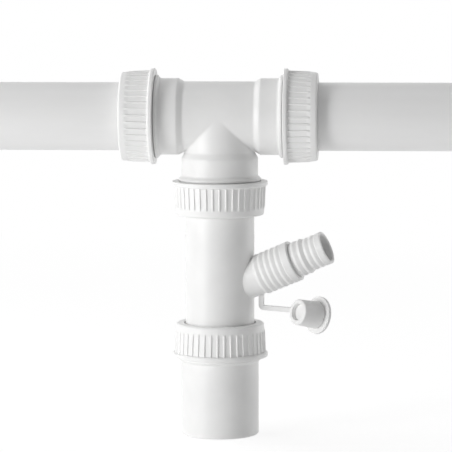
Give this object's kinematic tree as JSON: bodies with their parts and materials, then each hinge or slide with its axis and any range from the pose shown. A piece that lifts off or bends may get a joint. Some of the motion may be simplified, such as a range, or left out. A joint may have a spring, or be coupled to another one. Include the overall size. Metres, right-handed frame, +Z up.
{
  "type": "sink waste tee with appliance connector",
  "caption": "White compression waste tee with pipes in its run, above an appliance connector tube with a stepped barbed hose nozzle, a blanking plug on a strap, and a wider lower tube.",
  "frame": {"origin": "centre of the lower tube's open bottom end", "axes": "+X along the run of the tee, towards the side of the hose nozzle; +Y away from the viewer; +Z up along the branch"},
  "size_m": [0.281, 0.0564, 0.2162],
  "materials": {
    "tee": "satin moulded plastic",
    "pipe": "smooth extruded plastic",
    "nut": "satin moulded plastic",
    "connector": "satin moulded plastic",
    "lower_tube": "satin moulded plastic",
    "slip_ring": "smooth plastic",
    "seal": "matt rubber"
  },
  "bodies": {
    "root": {"tee_body": "tee", "left_pipe": "pipe", "right_pipe": "pipe", "left_nut": "nut", "right_nut": "nut", "branch_nut": "nut", "lower_nut": "nut", "left_seal": "seal", "right_seal": "seal", "branch_seal": "seal", "lower_seal": "seal", "left_slip_ring": "slip_ring", "right_slip_ring": "slip_ring", "branch_slip_ring": "slip_ring", "lower_slip_ring": "slip_ring", "appliance_connector": "connector", "lower_tube": "lower_tube"}
  },
  "joints": []
}
